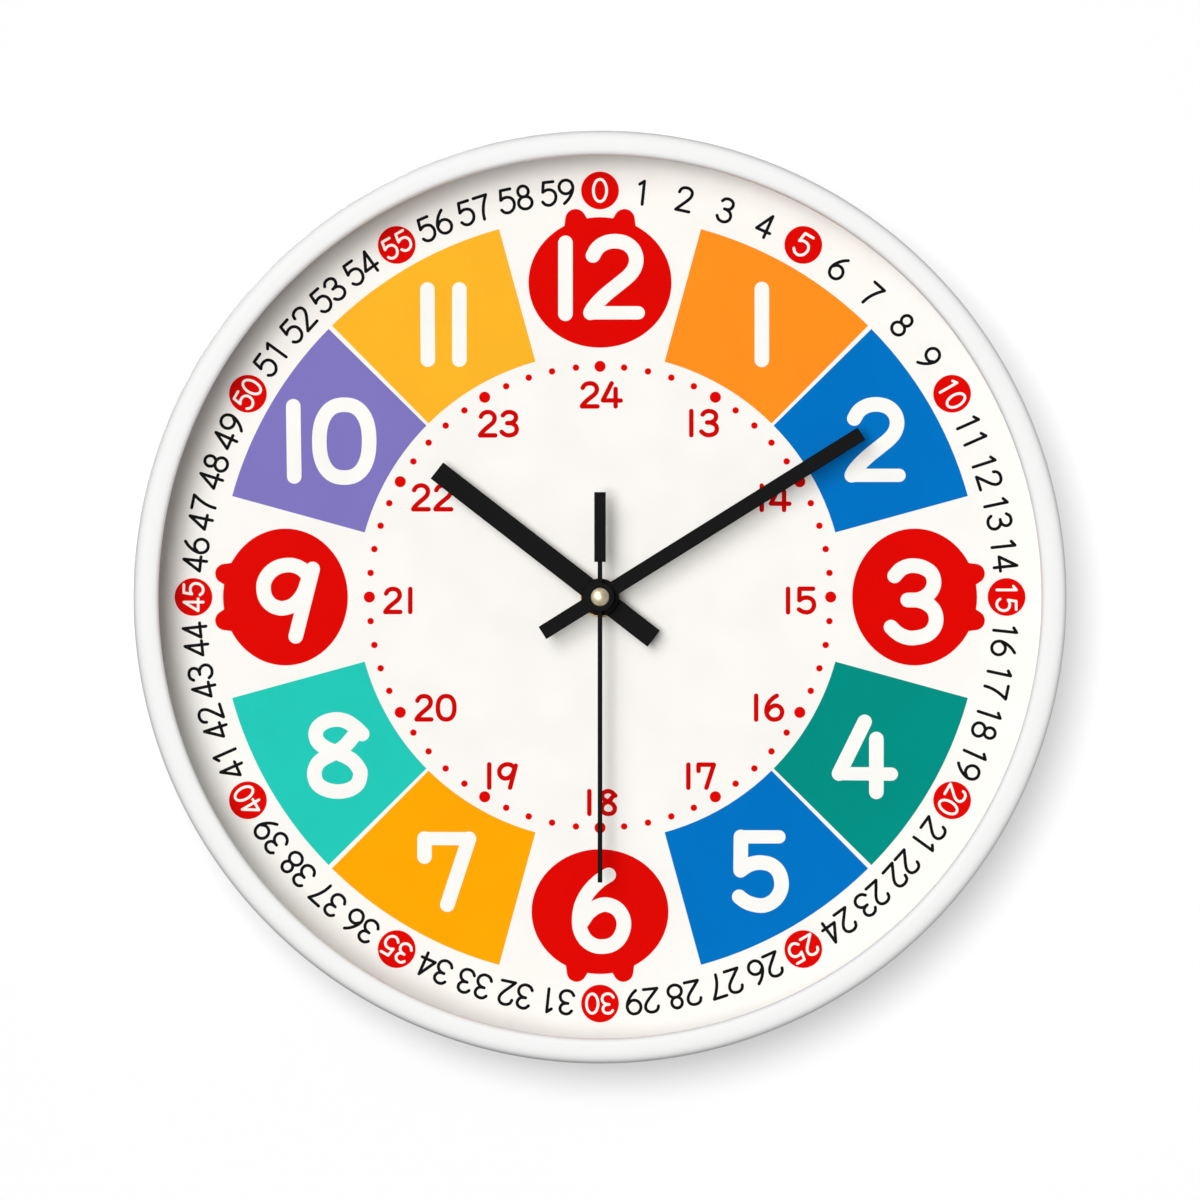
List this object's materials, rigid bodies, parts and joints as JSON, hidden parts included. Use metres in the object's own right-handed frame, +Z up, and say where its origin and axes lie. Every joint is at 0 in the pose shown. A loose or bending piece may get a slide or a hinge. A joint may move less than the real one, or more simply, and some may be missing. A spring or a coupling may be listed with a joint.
{
  "type": "teaching wall clock",
  "caption": "Round analogue wall clock for teaching the time: coloured hour fields, a ring of minute numbers, three hands on a geared battery movement, and a keyhole hanger behind.",
  "frame": {"origin": "on the wall, at the foot of the axis that the three hands turn on", "axes": "+Z up the wall to 12, +X to 3 (right, seen from the front), +Y into the wall; the dial faces -Y"},
  "size_m": [0.3, 0.0421, 0.3],
  "materials": {
    "case_white": "smooth satin white moulding",
    "lens_clear": "clear polished flat lens",
    "spacer_white": "white moulding",
    "dial_white": "warm white printed sheet",
    "ink_orange": "flat printed ink",
    "ink_amber": "flat printed ink",
    "ink_yellow": "flat printed ink",
    "ink_blue": "flat printed ink",
    "ink_green": "flat printed ink",
    "ink_turquoise": "flat printed ink",
    "ink_purple": "flat printed ink",
    "ink_red": "flat printed ink",
    "cover_white": "fine textured white moulding",
    "zinc_plate": "zinc plated sheet",
    "zinc_screw": "zinc plated",
    "rubber_black": "plain rubber",
    "brass_washer": "plain brass",
    "brass_nut": "plain brass",
    "hand_black": "thin black paint",
    "cap_champagne": "champagne plated dome",
    "movement_black": "fine textured black moulding",
    "plate_black": "black moulding",
    "arbor_steel": "ground steel",
    "arbor_brass": "turned brass",
    "wheel_white": "natural white moulding",
    "wheel_brass": "stamped brass",
    "wheel_black": "black moulding",
    "spring_steel": "bright spring steel",
    "magnet_grey": "sintered magnet",
    "stator_iron": "stamped soft iron",
    "winding_copper": "enamelled copper wire",
    "bobbin_ivory": "ivory moulding",
    "board_green": "green laminate",
    "crystal_can": "plated can",
    "chip_black": "black potting drop",
    "contact_nickel": "nickel plated strip",
    "cell_sleeve": "plain two-tone sleeve",
    "knob_white": "white moulding"
  },
  "bodies": {
    "case": {"case_ring": "case_white", "lens": "lens_clear", "spacer_ring": "spacer_white", "dial": "dial_white", "print_orange": "ink_orange", "print_amber": "ink_amber", "print_yellow": "ink_yellow", "print_blue": "ink_blue", "print_green": "ink_green", "print_turquoise": "ink_turquoise", "print_purple": "ink_purple", "print_red": "ink_red", "back_cover": "cover_white", "back_skirt": "cover_white", "hanger_posts": "cover_white", "hanger_plate": "zinc_plate", "hanger_screws": "zinc_screw", "rubber_washer": "rubber_black", "flat_washer": "brass_washer", "hex_nut": "brass_nut", "movement_front": "movement_black", "movement_back": "movement_black", "middle_plate": "plate_black", "stator": "stator_iron", "coil_core": "stator_iron", "coil_bobbin": "bobbin_ivory", "coil_winding": "winding_copper", "circuit_board": "board_green", "quartz_crystal": "crystal_can", "chip_cover": "chip_black", "positive_contact": "contact_nickel", "negative_contact": "contact_nickel"},
    "seconds": {"second_hand": "hand_black", "cap": "cap_champagne", "seconds_arbor": "arbor_steel", "seconds_wheel": "wheel_white"},
    "minutes": {"minute_hand": "hand_black", "minute_arbor": "arbor_brass", "clutch_spring": "spring_steel"},
    "hours": {"hour_hand": "hand_black", "hour_wheel": "wheel_white"},
    "centre": {"centre_wheel": "wheel_brass"},
    "third": {"third_wheel": "wheel_white"},
    "fifth": {"fifth_wheel": "wheel_white"},
    "rotor": {"rotor_pinion": "wheel_white", "rotor_magnet": "magnet_grey"},
    "motion": {"minute_wheel": "wheel_black"},
    "setting": {"setting_knob": "knob_white", "setting_pinion": "wheel_white"},
    "cell": {"battery_cell": "cell_sleeve"}
  },
  "joints": [
    {"name": "second_hand_turn", "type": "hinge", "parent": "case", "child": "seconds", "pos_m": [0, -0.01, 0], "axis": [0, 1, 0], "continuous": true},
    {"name": "minute_hand_turn", "type": "hinge", "parent": "case", "child": "minutes", "pos_m": [0, -0.01, 0], "axis": [0, 1, 0], "continuous": true},
    {"name": "hour_hand_turn", "type": "hinge", "parent": "case", "child": "hours", "pos_m": [0, -0.01, 0], "axis": [0, 1, 0], "continuous": true},
    {"name": "centre_wheel_turn", "type": "hinge", "parent": "case", "child": "centre", "pos_m": [0, -0.01, 0], "axis": [0, 1, 0], "continuous": true},
    {"name": "third_wheel_turn", "type": "hinge", "parent": "case", "child": "third", "pos_m": [0.00883, -0.01, -0.0051], "axis": [0, 1, 0], "continuous": true},
    {"name": "fifth_wheel_turn", "type": "hinge", "parent": "case", "child": "fifth", "pos_m": [-0.00909, -0.01, 0.00525], "axis": [0, 1, 0], "continuous": true},
    {"name": "rotor_turn", "type": "hinge", "parent": "case", "child": "rotor", "pos_m": [-0.01611, -0.01, 0.00363], "axis": [0, 1, 0], "continuous": true},
    {"name": "minute_wheel_turn", "type": "hinge", "parent": "case", "child": "motion", "pos_m": [0.0042, -0.01, 0.00727], "axis": [0, 1, 0], "continuous": true},
    {"name": "setting_knob_turn", "type": "hinge", "parent": "case", "child": "setting", "pos_m": [0.0126, -0.01, 0.00727], "axis": [0, 1, 0], "continuous": true},
    {"name": "battery_cell_slide", "type": "slide", "parent": "case", "child": "cell", "axis": [0, 1, 0], "range_m": [0, 0.03]}
  ],
  "couplings": [
    {"joint": "rotor_turn", "follows": "second_hand_turn", "ratio": 30},
    {"joint": "fifth_wheel_turn", "follows": "second_hand_turn", "ratio": -6},
    {"joint": "third_wheel_turn", "follows": "second_hand_turn", "ratio": -0.13333},
    {"joint": "centre_wheel_turn", "follows": "second_hand_turn", "ratio": 0.016667},
    {"joint": "minute_wheel_turn", "follows": "minute_hand_turn", "ratio": -0.33333},
    {"joint": "hour_hand_turn", "follows": "minute_hand_turn", "ratio": 0.083333},
    {"joint": "setting_knob_turn", "follows": "minute_hand_turn", "ratio": 1}
  ]
}
